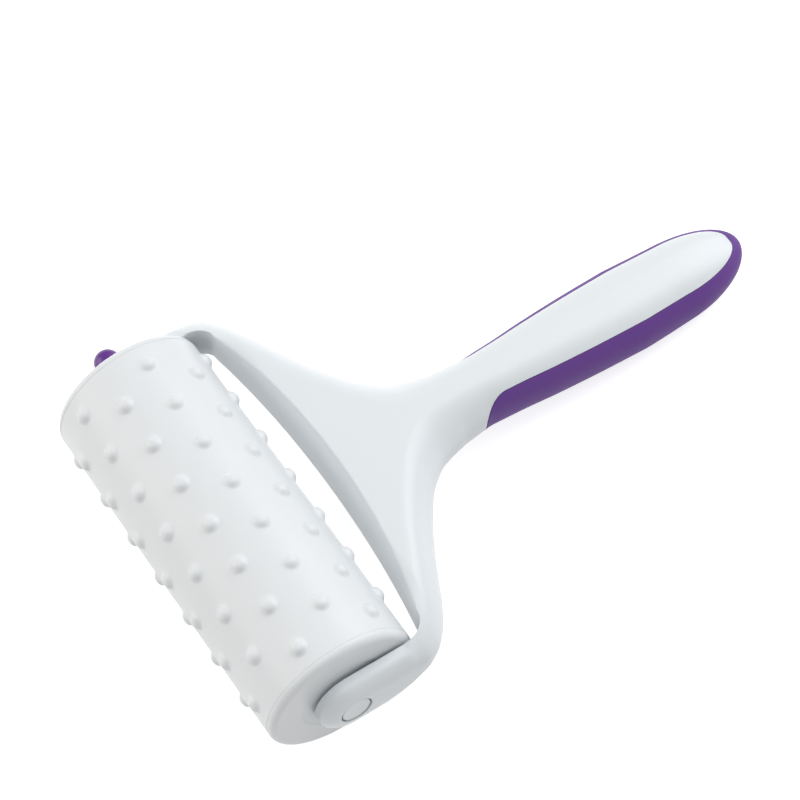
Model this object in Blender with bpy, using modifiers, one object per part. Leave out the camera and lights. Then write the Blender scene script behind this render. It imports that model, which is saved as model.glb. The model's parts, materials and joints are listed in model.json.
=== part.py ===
"""Handled embossing roller: a studded roller in a moulded yoke, with a soft grip and a release button.

Tool axes: X along the roller's axis towards the plain arm, Y from the axle towards the grip's end,
Z up, square to the flat top of the handle. The tool lies on two lines of studs and on the grip's end.
"""
import math

import bmesh
import bpy

# Clearances
FIT_GAP = 0.0003
RUNNING_GAP = 0.0003
OVERRUN = 0.010

# Roller sleeve and its studs
ROLLER_RADIUS = 0.0225
SLEEVE_LENGTH = 0.1062
SLEEVE_WALL = 0.0025
STUD_MARGIN = 0.0060
STUD_LINES = 12
STUDS_PER_LINE = 7
STUD_HEIGHT = 0.0015
STUD_BASE_RADIUS = 0.0024

# End caps
CAP_FLANGE = 0.0022
CAP_RIM_RADIUS = 0.0021
CAP_DISH_RADIUS = 0.0125
CAP_DISH_DEPTH = 0.0008
CAP_SPIGOT_LENGTH = 0.0060
CAP_SPIGOT_WALL = 0.0018
SOCKET_WALL = 0.0020

# Stub on the plain arm
STUB_RADIUS = 0.0040
STUB_LENGTH = 0.0075

# Release button, its spring and the guide that holds them
BUTTON_RADIUS = 0.0039
BUTTON_STANDOUT = 0.0080
BUTTON_DOME = 0.0039
BUTTON_FLANGE_RADIUS = 0.0062
BUTTON_FLANGE = 0.0018
GUIDE_WALL = 0.0016
SPRING_WIRE_RADIUS = 0.0004
SPRING_RADIUS = 0.0044
SPRING_LENGTH = 0.0250
SPRING_TURNS = 9
SPRING_POST_RADIUS = 0.0030
SPRING_POST_LENGTH = 0.0030
PLUG_HEAD = 0.0020
PLUG_SPIGOT = 0.0020

# Arms of the yoke
END_PLAY = 0.0007
ARM_THICKNESS = 0.0057
ARM_END_RADIUS = 0.0098
ARM_CORNER = 0.0028
ARM_RUN = 0.0180
PAD_RADIUS = 0.0070
PAD_HEIGHT = 0.0004
RECESS_RADIUS = 0.0048
RECESS_DEPTH = 0.0018

# Window of the yoke, in which the roller turns
WINDOW_REACH = 0.0303
WINDOW_LEAN = 0.0023
WINDOW_BOW = 0.0040
WINDOW_TOP_BOW = 0.0068
WINDOW_CORNER = 0.0060
WINDOW_CHAMFER = 0.0006

# Handle, with places measured from the axle
TOP_HEIGHT = 0.0142
YOKE_UNDERSIDE = 0.0002
SHOULDER_CORNER = 0.0165
LOWER_CORNER = 0.0180
NECK_AT = 0.0690
NECK_HALF_WIDTH = 0.0110
NECK_UNDERSIDE = 0.0064
THROAT_AT = 0.0790
THROAT_HALF_WIDTH = 0.0095
BULGE_AT = 0.1300
GRIP_HALF_WIDTH = 0.0127
GRIP_UNDERSIDE = 0.0060
TAIL_AT = 0.1450
TAIL_HALF_WIDTH = 0.0120
TIP_AT = 0.1694
TIP_HEIGHT = 0.0066
WAIST_HEIGHT = 0.0045

# Soft grip
BAND_AT = 0.0765
BAND_CORNER = 0.0080
PARTING_HEIGHT = 0.0116
GRIP_WALL = 0.0022

# The yoke's outline from the arms to the neck: how far along, and how much of the flare is left
SHOULDER_SHARES = (
    (0.00, 1.000), (0.08, 0.999), (0.16, 0.973), (0.235, 0.907), (0.314, 0.792), (0.392, 0.637),
    (0.47, 0.482), (0.57, 0.317), (0.686, 0.163), (0.824, 0.058), (1.00, 0.000),
)
# The ridge along the yoke's top from the arms to the neck: how far along, and how wide its corner is
RIDGE_SHARES = (
    (0.00, 0.00), (0.16, 0.67), (0.255, 0.93), (0.353, 1.00), (0.53, 0.85), (0.667, 0.73),
    (0.824, 0.60), (1.00, 0.48),
)
# How round that corner is, from 1 for an ellipse down towards a flat slope
ROUNDNESS_SHARES = ((0.00, 1.00), (0.24, 0.63), (0.82, 0.63), (1.31, 1.00))
# The grip's outline from the throat to the bulge: how far along, and how much of the swell is there
SWELL_SHARES = ((0.00, 0.00), (0.22, 0.22), (0.41, 0.52), (0.71, 0.83), (1.00, 1.00))
# How much of a corner's half width or half height may be round, and how much of a side is flat
ROUND_SHARE = 0.84
ARM_FLAT_SHARE = 0.36
HANDLE_FLAT_SHARE = 0.06
# How soon the top falls and the underside lifts towards the tip: 1/2 follows the tip's own ellipse
TAIL_FALL_SHARE = 0.35
TAIL_LIFT_SHARE = 0.60

# Facets: steps round a whole turn, then steps round a corner, then places along the moulding
SLEEVE_STEPS = 48
CAP_STEPS = 40
SMALL_STEPS = 28
SPRING_STEPS = 8
STUD_STEPS = 8
STUD_RINGS = 8
RIM_STEPS = 4
DOME_STEPS = 5
BAND_STEPS = 6
BOW_STEPS = 8
CORNER_STEPS = 5
FLAT_STEPS = 3
ROUND_STEPS = 5
CORE_FLAT_STEPS = 1
CORE_ROUND_STEPS = 4
ARM_PLACES = 4
YOKE_PLACES = 17
GRIP_PLACES = 13
CORE_PLACES = 8
ARM_END_ANGLES = (88, 70, 50, 30, 14)
TAIL_ANGLES = (12, 24, 36, 48, 60, 70, 79, 88)
CREASE_ANGLE = 32

# Finishes
WHITE = (0.80, 0.82, 0.84)
PURPLE = (0.12, 0.055, 0.21)
BUTTON_PURPLE = (0.11, 0.03, 0.23)
STEEL = (0.60, 0.60, 0.62)
HARD_ROUGHNESS = 0.33
SOFT_ROUGHNESS = 0.55
STEEL_ROUGHNESS = 0.25

# Worked out from the sizes above
half_roller = SLEEVE_LENGTH / 2 + FIT_GAP + CAP_FLANGE
inner_face = half_roller + END_PLAY
outer_face = inner_face + ARM_THICKNESS
sleeve_bore = ROLLER_RADIUS - SLEEVE_WALL
stud_pitch = (SLEEVE_LENGTH - 2 * STUD_MARGIN) / (STUDS_PER_LINE - 1 / 2)
stud_tip = ROLLER_RADIUS + STUD_HEIGHT
stud_ball = (STUD_BASE_RADIUS ** 2 + STUD_HEIGHT ** 2) / (2 * STUD_HEIGHT)
stud_orbit = stud_tip - stud_ball
rest_radius = stud_orbit * math.cos(math.pi / STUD_LINES) + stud_ball
pin_bore = BUTTON_RADIUS + RUNNING_GAP
guide_bore = BUTTON_FLANGE_RADIUS + RUNNING_GAP
guide_radius = guide_bore + GUIDE_WALL
socket_bore = STUB_RADIUS + RUNNING_GAP
web_depth = CAP_DISH_DEPTH + CAP_FLANGE


def smooth(table, at):
    """Value of a smooth curve through the table's points, level wherever the points turn back."""
    if at <= table[0][0]:
        return table[0][1]
    if at >= table[-1][0]:
        return table[-1][1]
    slopes = [(b[1] - a[1]) / (b[0] - a[0]) for a, b in zip(table, table[1:])]
    pairs = zip(slopes, slopes[1:])
    tangents = [slopes[0]] + [2 * p * q / (p + q) if p * q > 0 else 0 for p, q in pairs] + [slopes[-1]]
    place = max(i for i, point in enumerate(table[:-1]) if point[0] <= at)
    (x0, y0), (x1, y1) = table[place], table[place + 1]
    span = x1 - x0
    s = (at - x0) / span
    start = y0 * (1 + 2 * s) * (1 - s) ** 2 + span * tangents[place] * s * (1 - s) ** 2
    end = y1 * s * s * (3 - 2 * s) + span * tangents[place + 1] * s * s * (s - 1)
    return start + end


def spread(low, high, count):
    """Evenly spaced places from low to high, both kept."""
    return [low + (high - low) * i / (count - 1) for i in range(count)]


def tail(y, start):
    """How much of a section is left at y in the rounded end, from 1 at start to 0 at the tip."""
    along = min(max((y - start) / (TIP_AT - start), 0), 1)
    return math.sqrt(1 - along * along)


def along_yoke(y):
    """How far y is along the yoke, from 0 where the arms begin to widen to 1 at the neck."""
    return (y - ARM_RUN) / (NECK_AT - ARM_RUN)


def half_width(y):
    """Half width of the moulding's outline at y."""
    if y <= NECK_AT:
        share = smooth(SHOULDER_SHARES, along_yoke(y))
        return NECK_HALF_WIDTH + (outer_face - NECK_HALF_WIDTH) * share
    if y <= THROAT_AT:
        return smooth(((NECK_AT, NECK_HALF_WIDTH), (THROAT_AT, THROAT_HALF_WIDTH)), y)
    if y <= BULGE_AT:
        share = smooth(SWELL_SHARES, (y - THROAT_AT) / (BULGE_AT - THROAT_AT))
        return THROAT_HALF_WIDTH + (GRIP_HALF_WIDTH - THROAT_HALF_WIDTH) * share
    body = smooth(((BULGE_AT, GRIP_HALF_WIDTH), (TAIL_AT, TAIL_HALF_WIDTH)), y)
    return body * tail(y, TAIL_AT)


def top_height(y):
    """Height of the moulding's top at y."""
    rise = ((ARM_RUN, ARM_END_RADIUS), (WINDOW_REACH, TOP_HEIGHT))
    body = smooth(rise, y)
    left = tail(y, TAIL_AT) ** (2 * TAIL_FALL_SHARE)
    return TIP_HEIGHT + (body - TIP_HEIGHT) * left if y > TAIL_AT else body


def underside_height(y):
    """Height of the moulding's underside at y."""
    drop = (
        (0, -ARM_END_RADIUS),
        (ARM_RUN / 2, -ARM_END_RADIUS),
        (WINDOW_REACH, YOKE_UNDERSIDE),
        (WINDOW_REACH + WINDOW_CORNER, YOKE_UNDERSIDE),
        (NECK_AT, -NECK_UNDERSIDE),
        (THROAT_AT, -NECK_UNDERSIDE),
        (BULGE_AT, -GRIP_UNDERSIDE),
        (TAIL_AT, -GRIP_UNDERSIDE),
    )
    body = smooth(drop, y)
    left = tail(y, BULGE_AT) ** (2 * TAIL_LIFT_SHARE)
    return TIP_HEIGHT + (body - TIP_HEIGHT) * left if y > BULGE_AT else body


def waist_height(y):
    """Height at y where the section is widest."""
    rise = ((ARM_RUN, 0), (WINDOW_REACH, WAIST_HEIGHT), (TAIL_AT, WAIST_HEIGHT), (TIP_AT, TIP_HEIGHT))
    return smooth(rise, y)


def corner_widths(y):
    """How far in from the side the section starts to round off at y, on top and underneath."""
    limit = ROUND_SHARE * half_width(y)
    if y >= THROAT_AT:
        return limit, limit
    ridge = ARM_CORNER + (SHOULDER_CORNER - ARM_CORNER) * smooth(RIDGE_SHARES, along_yoke(y))
    lower = smooth(((ARM_RUN, ARM_CORNER), (WINDOW_REACH + WINDOW_CORNER, LOWER_CORNER)), y)
    return min(ridge, limit), min(lower, limit)


def section(y, inset, steps):
    """Closed outline of the moulding at y, drawn in by inset: points (x, z), right half then left."""
    flats, rounds = steps
    width = half_width(y) - inset
    top = top_height(y) - inset
    under = underside_height(y) + inset
    waist = min(max(waist_height(y), under), top)
    upper, lower = [min(corner, ROUND_SHARE * width) for corner in corner_widths(y)]
    flat = smooth(((ARM_RUN, ARM_FLAT_SHARE), (WINDOW_REACH, HANDLE_FLAT_SHARE)), y)
    power = 1 / smooth(ROUNDNESS_SHARES, along_yoke(y))
    quarter = spread(0, math.pi / 2, rounds + 1)
    half = [(x, top) for x in spread(0, width - upper, flats + 1)]
    for a in reversed(quarter[:-1]):
        rise = flat + (1 - flat) * math.sin(a) ** power
        half.append((width - upper * (1 - math.cos(a) ** power), waist + (top - waist) * rise))
    for a in quarter:
        drop = flat + (1 - flat) * math.sin(a)
        half.append((width - lower * (1 - math.cos(a)), waist + (under - waist) * drop))
    half += [(x, under) for x in spread(width - lower, 0, flats + 1)[1:]]
    return half + [(-x, z) for x, z in reversed(half[1:-1])]


def nose_section(y, steps):
    """The same outline behind the axle, where the arms' ends are round from the side and in plan."""
    flats, rounds = steps
    face = ARM_FLAT_SHARE * ARM_END_RADIUS
    edge = ARM_END_RADIUS - face
    start = math.asin(max(-y - face, 0) / edge)
    quarter = spread(start, math.pi / 2, rounds + 1)
    radii = [face + edge * math.sin(a) for a in quarter]
    heights = [math.sqrt(max(radius * radius - y * y, 0)) for radius in radii]
    sides = [outer_face - ARM_CORNER * (1 - math.cos(a)) for a in quarter]
    half = [(x, heights[-1]) for x in spread(0, sides[-1], flats + 1)]
    half += list(zip(sides, heights))[-2::-1]
    half += [(x, -z) for x, z in reversed(half)]
    return half + [(-x, z) for x, z in reversed(half[1:-1])]


def mesh_object(name, mesh, collection, parent):
    item = bpy.data.objects.new(name, mesh)
    collection.objects.link(item)
    item.parent = parent
    return item


def loft(name, rings, collection, parent):
    """Skin over closed rings of equal length, with both ends filled."""
    shape = bmesh.new()
    rows = [[shape.verts.new(point) for point in ring] for ring in rings]
    for row, after in zip(rows, rows[1:]):
        for i in range(len(row)):
            j = (i + 1) % len(row)
            shape.faces.new((row[i], row[j], after[j], after[i]))
    shape.faces.new(rows[0])
    shape.faces.new(rows[-1])
    bmesh.ops.remove_doubles(shape, verts=shape.verts, dist=FIT_GAP / 10)
    bmesh.ops.recalc_face_normals(shape, faces=shape.faces)
    mesh = bpy.data.meshes.new(name)
    shape.to_mesh(mesh)
    shape.free()
    return mesh_object(name, mesh, collection, parent)


def turned(name, profile, steps, collection, parent, closed=False):
    """Solid of revolution about its own Z axis, from points (radius, height) down its outer side."""
    shape = bmesh.new()
    verts = [shape.verts.new((radius, 0, height)) for radius, height in profile]
    for a, b in zip(verts, verts[1:]):
        shape.edges.new((a, b))
    if closed:
        shape.edges.new((verts[-1], verts[0]))
    mesh = bpy.data.meshes.new(name)
    shape.to_mesh(mesh)
    shape.free()
    item = mesh_object(name, mesh, collection, parent)
    screw = item.modifiers.new("turn", "SCREW")
    screw.steps = steps
    screw.render_steps = steps
    screw.use_merge_vertices = True
    screw.merge_threshold = FIT_GAP / 10
    return item


def plate(name, outline, half_thickness, collection, parent):
    """Flat outline of points (y, z), filled and thickened both ways along X, as a mesh."""
    curve = bpy.data.curves.new(name, "CURVE")
    curve.dimensions = "2D"
    curve.fill_mode = "BOTH"
    curve.extrude = half_thickness
    spline = curve.splines.new("POLY")
    spline.points.add(len(outline) - 1)
    for point, (y, z) in zip(spline.points, outline):
        point.co = (y, z, 0, 1)
    spline.use_cyclic_u = True
    flat = bpy.data.objects.new(name, curve)
    collection.objects.link(flat)
    flat.rotation_euler = (math.pi / 2, 0, math.pi / 2)
    bpy.context.view_layer.update()
    solid = bpy.data.meshes.new_from_object(flat.evaluated_get(bpy.context.evaluated_depsgraph_get()))
    shape = bmesh.new()
    shape.from_mesh(solid)
    bmesh.ops.remove_doubles(shape, verts=shape.verts, dist=FIT_GAP / 10)
    bmesh.ops.recalc_face_normals(shape, faces=shape.faces)
    shape.to_mesh(solid)
    shape.free()
    placed = flat.matrix_world.copy()
    bpy.data.objects.remove(flat)
    item = mesh_object(name, solid, collection, parent)
    item.matrix_local = placed
    return item


def boolean(item, operation, other):
    """Join or cut the piece with another by an exact Boolean."""
    step = item.modifiers.new(operation.lower() + "_" + other.name, "BOOLEAN")
    step.operation = operation
    step.object = other
    return step


def along_x(item, x, outwards):
    """Lay a turned piece on the roller's axis with its own Z pointing along +X or -X."""
    item.location = (x, 0, 0)
    item.rotation_euler = (0, outwards * math.pi / 2, 0)
    return item


def finish(item, colour, roughness, metallic=0):
    """Make the piece's modifiers its own mesh, smooth with crisp edges, in its own material."""
    bpy.context.view_layer.update()
    depsgraph = bpy.context.evaluated_depsgraph_get()
    mesh = bpy.data.meshes.new_from_object(item.evaluated_get(depsgraph))
    made = bpy.data.objects.new(item.name, mesh)
    item.users_collection[0].objects.link(made)
    made.parent = item.parent
    made.matrix_local = item.matrix_local
    name = item.name
    bpy.data.objects.remove(item)
    made.name = name
    mesh.name = name
    mesh.shade_smooth()
    mesh.set_sharp_from_angle(angle=math.radians(CREASE_ANGLE))
    material = bpy.data.materials.new(name)
    material.use_nodes = True
    shader = material.node_tree.nodes["Principled BSDF"]
    shader.inputs["Base Color"].default_value = (*colour, 1)
    shader.inputs["Roughness"].default_value = roughness
    shader.inputs["Metallic"].default_value = metallic
    mesh.materials.clear()
    mesh.materials.append(material)
    return made


def nose_stations():
    return [-ARM_END_RADIUS * math.sin(math.radians(a)) for a in ARM_END_ANGLES]


def tail_stations(end):
    angles = [math.radians(a) for a in TAIL_ANGLES]
    return [TAIL_AT + (end - TAIL_AT) * math.sin(a) for a in angles]


def moulding(name, collection, parent):
    """The whole outer form of yoke, neck and grip, before anything is cut from it."""
    stations = spread(0, ARM_RUN, ARM_PLACES) + spread(ARM_RUN, NECK_AT, YOKE_PLACES)[1:]
    stations += spread(NECK_AT, TAIL_AT, GRIP_PLACES)[1:] + tail_stations(TIP_AT)
    steps = (FLAT_STEPS, ROUND_STEPS)
    rings = [[(x, y, z) for x, z in nose_section(y, steps)] for y in nose_stations()]
    rings += [[(x, y, z) for x, z in section(y, 0, steps)] for y in stations]
    return loft(name, rings, collection, parent)


def grip_core(name, wall, collection, parent):
    """The hard core inside the soft grip, a wall's thickness under the outer form."""
    stations = spread(BAND_AT - OVERRUN, TAIL_AT, CORE_PLACES) + tail_stations(TIP_AT - wall)[1::2]
    steps = (CORE_FLAT_STEPS, CORE_ROUND_STEPS)
    rings = [[(x, y, z) for x, z in section(y, wall, steps)] for y in stations]
    return loft(name, rings, collection, parent)


def grip_zone(name, gap, collection, parent):
    """Everything below the parting line and behind the band's front edge, with its round corner."""
    front = BAND_AT + gap
    top = PARTING_HEIGHT - gap
    corner = BAND_CORNER - gap
    angles = [math.pi - a for a in spread(0, math.pi / 2, BAND_STEPS + 1)]
    arc = [(front + corner + corner * math.cos(a), top - corner + corner * math.sin(a)) for a in angles]
    back = TIP_AT + OVERRUN
    low = -TOP_HEIGHT - OVERRUN
    outline = arc + [(back, top), (back, low), (front, low)]
    return plate(name, outline, TOP_HEIGHT + OVERRUN, collection, parent)


def window_outline(z, grow):
    """The window's outline at height z: straight inner faces of the arms and a bowed front edge."""
    share = (z - YOKE_UNDERSIDE) / (TOP_HEIGHT - YOKE_UNDERSIDE)
    reach = WINDOW_REACH + WINDOW_LEAN * share + grow
    bow = WINDOW_BOW + (WINDOW_TOP_BOW - WINDOW_BOW) * share
    side = inner_face + grow
    chord = side - WINDOW_CORNER
    radius = (chord * chord + bow * bow) / (2 * bow)
    swing = math.asin(chord / radius)
    edge = [(radius * math.sin(a), reach - radius + radius * math.cos(a))
            for a in spread(0, swing, BOW_STEPS + 1)]
    centre_y = edge[-1][1] - WINDOW_CORNER * math.cos(swing)
    turn = [(chord + WINDOW_CORNER * math.sin(a), centre_y + WINDOW_CORNER * math.cos(a))
            for a in spread(swing, math.pi / 2, CORNER_STEPS + 1)]
    half = edge + turn[1:-1] + [(side, centre_y), (side, -ARM_END_RADIUS - OVERRUN)]
    return [(x, y, z) for x, y in half] + [(-x, y, z) for x, y in reversed(half[1:])]


def make_yoke(parts, cutters, root):
    """White moulding: arms, yoke, neck, the handle's top and the core inside the grip."""
    yoke = moulding("yoke_handle", parts, root)
    chamfer_foot = TOP_HEIGHT - WINDOW_CHAMFER
    levels = (
        (-ARM_END_RADIUS - WINDOW_CORNER, 0),
        (chamfer_foot, 0),
        (TOP_HEIGHT + WINDOW_CHAMFER, 2 * WINDOW_CHAMFER),
    )
    window = loft("window_cutter", [window_outline(*level) for level in levels], cutters, root)
    boolean(yoke, "DIFFERENCE", window)
    zone = grip_zone("grip_cutter", 0, cutters, root)
    boolean(zone, "DIFFERENCE", grip_core("core_guide", GRIP_WALL, cutters, root))
    boolean(yoke, "DIFFERENCE", zone)
    for side in (1, -1):
        tip = STUB_LENGTH if side > 0 else 0
        seat = ARM_THICKNESS / 2
        profile = [
            (0, seat), (PAD_RADIUS, seat), (PAD_RADIUS, -PAD_HEIGHT),
            (STUB_RADIUS, -PAD_HEIGHT), (STUB_RADIUS, -PAD_HEIGHT - tip), (0, -PAD_HEIGHT - tip),
        ]
        if not tip:
            profile = profile[:3] + [(0, -PAD_HEIGHT)]
        name = "stub_guide" if side > 0 else "pad_guide"
        pad = turned(name, profile, SMALL_STEPS, cutters, root)
        boolean(yoke, "UNION", along_x(pad, side * inner_face, side))
        recess_profile = [(0, OVERRUN), (RECESS_RADIUS, OVERRUN), (RECESS_RADIUS, -RECESS_DEPTH)]
        if side < 0:
            through = ARM_THICKNESS + PAD_HEIGHT + OVERRUN
            recess_profile += [(pin_bore, -RECESS_DEPTH), (pin_bore, -through), (0, -through)]
        else:
            recess_profile += [(0, -RECESS_DEPTH)]
        name = "plain_recess_cutter" if side > 0 else "button_hole_cutter"
        recess = turned(name, recess_profile, SMALL_STEPS, cutters, root)
        boolean(yoke, "DIFFERENCE", along_x(recess, side * outer_face, side))
    return finish(yoke, WHITE, HARD_ROUGHNESS)


def make_grip(parts, cutters, root):
    """Purple overmould: both sides, the underside and the tip of the handle."""
    grip = moulding("soft_grip", parts, root)
    boolean(grip, "INTERSECT", grip_zone("grip_guide", FIT_GAP, cutters, root))
    boolean(grip, "DIFFERENCE", grip_core("core_cutter", GRIP_WALL - FIT_GAP, cutters, root))
    return finish(grip, PURPLE, SOFT_ROUGHNESS)


def stud_pattern(tilt, cutters, root):
    """All the studs as domes rooted in the sleeve's wall, in lines set off by half a pitch in turn."""
    shape = bmesh.new()
    for line in range(STUD_LINES):
        angle = tilt + (line + 1 / 2) * 2 * math.pi / STUD_LINES
        shift = -stud_pitch / 4 if line % 2 else stud_pitch / 4
        for place in range(STUDS_PER_LINE):
            made = bmesh.ops.create_uvsphere(
                shape, u_segments=STUD_STEPS, v_segments=STUD_RINGS, radius=stud_ball)
            x = shift + (place - (STUDS_PER_LINE - 1) / 2) * stud_pitch
            for vert in made["verts"]:
                radial = max(stud_orbit + vert.co.z, sleeve_bore + SLEEVE_WALL / 2)
                across = vert.co.y
                y = radial * math.sin(angle) + across * math.cos(angle)
                z = across * math.sin(angle) - radial * math.cos(angle)
                vert.co = (x + vert.co.x, y, z)
    mesh = bpy.data.meshes.new("studs_guide")
    shape.to_mesh(mesh)
    shape.free()
    return mesh_object("studs_guide", mesh, cutters, root)


def make_sleeve(tilt, parts, cutters, root):
    """Hollow studded sleeve."""
    half = SLEEVE_LENGTH / 2
    profile = [(ROLLER_RADIUS, half), (ROLLER_RADIUS, -half), (sleeve_bore, -half), (sleeve_bore, half)]
    sleeve = turned("roller_sleeve", profile, SLEEVE_STEPS, parts, root, closed=True)
    along_x(sleeve, 0, 1)
    boolean(sleeve, "UNION", stud_pattern(tilt, cutters, root))
    return finish(sleeve, WHITE, HARD_ROUGHNESS)


def cap_rim():
    """The cap's outer side from its face round the rim, down the flange and along the spigot."""
    centre = ROLLER_RADIUS - CAP_RIM_RADIUS
    arc = [(centre + CAP_RIM_RADIUS * math.sin(a), CAP_RIM_RADIUS * (math.cos(a) - 1))
           for a in spread(0, math.pi / 2, RIM_STEPS + 1)]
    spigot = sleeve_bore - FIT_GAP
    deep = -CAP_FLANGE - CAP_SPIGOT_LENGTH
    return [(CAP_DISH_RADIUS, -CAP_DISH_DEPTH), (CAP_DISH_RADIUS + CAP_DISH_DEPTH, 0)] + arc + [
        (ROLLER_RADIUS, -CAP_FLANGE), (spigot, -CAP_FLANGE), (spigot, deep), (spigot - CAP_SPIGOT_WALL, deep),
        (spigot - CAP_SPIGOT_WALL, -web_depth),
    ]


def make_plain_cap(parts, root):
    """Cap at the plain arm, with a blind socket that turns on the arm's stub."""
    reach = END_PLAY - PAD_HEIGHT
    depth = STUB_LENGTH - reach + RUNNING_GAP
    boss = socket_bore + SOCKET_WALL
    profile = [(0, -depth), (socket_bore, -depth), (socket_bore, -CAP_DISH_DEPTH)] + cap_rim()
    profile += [(boss, -web_depth), (boss, -depth - SOCKET_WALL), (0, -depth - SOCKET_WALL)]
    cap = turned("plain_end_cap", profile, CAP_STEPS, parts, root)
    return finish(along_x(cap, half_roller, 1), WHITE, HARD_ROUGHNESS)


def guide_length():
    """Length of the guide tube behind the cap's web: flange, spring, plug and their gaps."""
    return RUNNING_GAP + BUTTON_FLANGE + SPRING_LENGTH + 2 * FIT_GAP + PLUG_SPIGOT


def make_button_cap(parts, root):
    """Cap at the button's arm, with a hole for the pin and a guide tube for the spring behind it."""
    end = -web_depth - guide_length()
    profile = [(pin_bore, -CAP_DISH_DEPTH)] + cap_rim()
    profile += [(guide_radius, -web_depth), (guide_radius, end), (guide_bore, end)]
    profile += [(guide_bore, -web_depth), (pin_bore, -web_depth)]
    cap = turned("button_end_cap", profile, CAP_STEPS, parts, root, closed=True)
    return finish(along_x(cap, -half_roller, -1), WHITE, HARD_ROUGHNESS)


def make_button(parts, root):
    """Push button and pin in one moulding: the pin carries the roller in the arm's hole."""
    tip = outer_face + BUTTON_STANDOUT
    shoulder = half_roller - web_depth - RUNNING_GAP
    dome = [(BUTTON_RADIUS * math.sin(a), tip - BUTTON_DOME * (1 - math.cos(a)))
            for a in spread(0, math.pi / 2, DOME_STEPS + 1)]
    back = shoulder - BUTTON_FLANGE
    post = back - SPRING_POST_LENGTH
    profile = dome + [(BUTTON_RADIUS, shoulder), (BUTTON_FLANGE_RADIUS, shoulder)]
    profile += [(BUTTON_FLANGE_RADIUS, back), (SPRING_POST_RADIUS, back)]
    profile += [(SPRING_POST_RADIUS, post), (0, post)]
    button = turned("release_button", profile, SMALL_STEPS, parts, root)
    return finish(along_x(button, 0, -1), BUTTON_PURPLE, HARD_ROUGHNESS)


def spring_ends():
    """Where the spring starts at the button's flange and stops at the plug."""
    outer = half_roller - web_depth - RUNNING_GAP - BUTTON_FLANGE - FIT_GAP
    return -outer, -outer + SPRING_LENGTH


def make_spring(parts, root):
    """Compression spring between the button's flange and the plug, as one wire."""
    start, stop = spring_ends()
    low = start + SPRING_WIRE_RADIUS
    high = stop - SPRING_WIRE_RADIUS
    count = SPRING_TURNS * SPRING_STEPS + 1
    curve = bpy.data.curves.new("release_spring", "CURVE")
    curve.dimensions = "3D"
    curve.bevel_depth = SPRING_WIRE_RADIUS
    curve.bevel_resolution = 1
    curve.use_fill_caps = True
    spline = curve.splines.new("POLY")
    spline.points.add(count - 1)
    for i, point in enumerate(spline.points):
        angle = 2 * math.pi * i / SPRING_STEPS
        x = low + (high - low) * i / (count - 1)
        point.co = (x, SPRING_RADIUS * math.cos(angle), SPRING_RADIUS * math.sin(angle), 1)
    pitch = (high - low) / SPRING_TURNS
    print("spring, least gap between turns in mm:", round((pitch - 2 * SPRING_WIRE_RADIUS) * 1000, 2))
    return finish(mesh_object("release_spring", curve, parts, root), STEEL, STEEL_ROUGHNESS, 1)


def make_plug(parts, root):
    """Plug that closes the guide tube and backs the spring."""
    seat = half_roller - web_depth - guide_length()
    head = seat - FIT_GAP
    nose = seat + PLUG_SPIGOT
    profile = [
        (0, nose + SPRING_POST_LENGTH), (SPRING_POST_RADIUS, nose + SPRING_POST_LENGTH),
        (SPRING_POST_RADIUS, nose), (guide_bore - FIT_GAP, nose), (guide_bore - FIT_GAP, head),
        (guide_radius, head), (guide_radius, head - PLUG_HEAD), (0, head - PLUG_HEAD),
    ]
    plug = turned("spring_plug", profile, SMALL_STEPS, parts, root)
    return finish(along_x(plug, 0, -1), WHITE, HARD_ROUGHNESS)


def lying_tilt():
    """How far the handle's end drops until its underside meets the plane that the studs lie on."""
    angles = []
    for y in spread(BULGE_AT, TIP_AT, 60):
        z = underside_height(y)
        reach = math.hypot(y, z)
        if reach > rest_radius:
            angles.append(math.asin(rest_radius / reach) - math.atan2(-z, y))
    return min(angles)


def world_bounds(collection):
    """Lowest and highest corners of the finished pieces."""
    bpy.context.view_layer.update()
    depsgraph = bpy.context.evaluated_depsgraph_get()
    points = []
    for item in collection.objects:
        seen = item.evaluated_get(depsgraph)
        mesh = seen.to_mesh()
        points += [seen.matrix_world @ vert.co for vert in mesh.vertices]
        seen.to_mesh_clear()
    low = [min(p[i] for p in points) for i in range(3)]
    high = [max(p[i] for p in points) for i in range(3)]
    return low, high


def main():
    for item in list(bpy.data.objects):
        bpy.data.objects.remove(item)
    scene = bpy.context.scene
    parts = bpy.data.collections.new("embossing_roller")
    cutters = bpy.data.collections.new("cutters")
    scene.collection.children.link(parts)
    scene.collection.children.link(cutters)
    tilt = lying_tilt()
    root = bpy.data.objects.new("tool_axes", None)
    scene.collection.objects.link(root)
    root.rotation_euler = (-tilt, 0, 0)
    make_yoke(parts, cutters, root)
    make_grip(parts, cutters, root)
    make_sleeve(tilt, parts, cutters, root)
    make_plain_cap(parts, root)
    make_button_cap(parts, root)
    make_button(parts, root)
    make_spring(parts, root)
    make_plug(parts, root)
    for cutter in cutters.objects:
        cutter.hide_render = True
        cutter.display_type = "WIRE"
    low, high = world_bounds(parts)
    root.location = (-(low[0] + high[0]) / 2, -(low[1] + high[1]) / 2, -low[2])
    bpy.context.view_layer.update()
    print("tilt in degrees:", round(math.degrees(tilt), 3))
    print("axle in world, mm:", [round(value * 1000, 3) for value in root.matrix_world.translation])
    travel = BUTTON_STANDOUT + ARM_THICKNESS + PAD_HEIGHT
    print("button travel to clear the arm, mm:", round(travel * 1000, 2))


main()
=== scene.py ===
# %% [markdown]
# # A handled embossing roller
#
# This tool presses a pattern of dots into rolled icing or dough. A white studded roller turns between
# the two arms of a white moulded frame. The frame runs through a flared yoke and a narrow neck into a
# handle, whose sides, underside and tip are covered by a soft purple grip. A purple button on the far
# arm frees the roller.
#
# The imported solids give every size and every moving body. They are faceted, so each piece that shows is
# made again here as a fine mesh of the same form, with a finish of its own.

import json
import math

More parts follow.
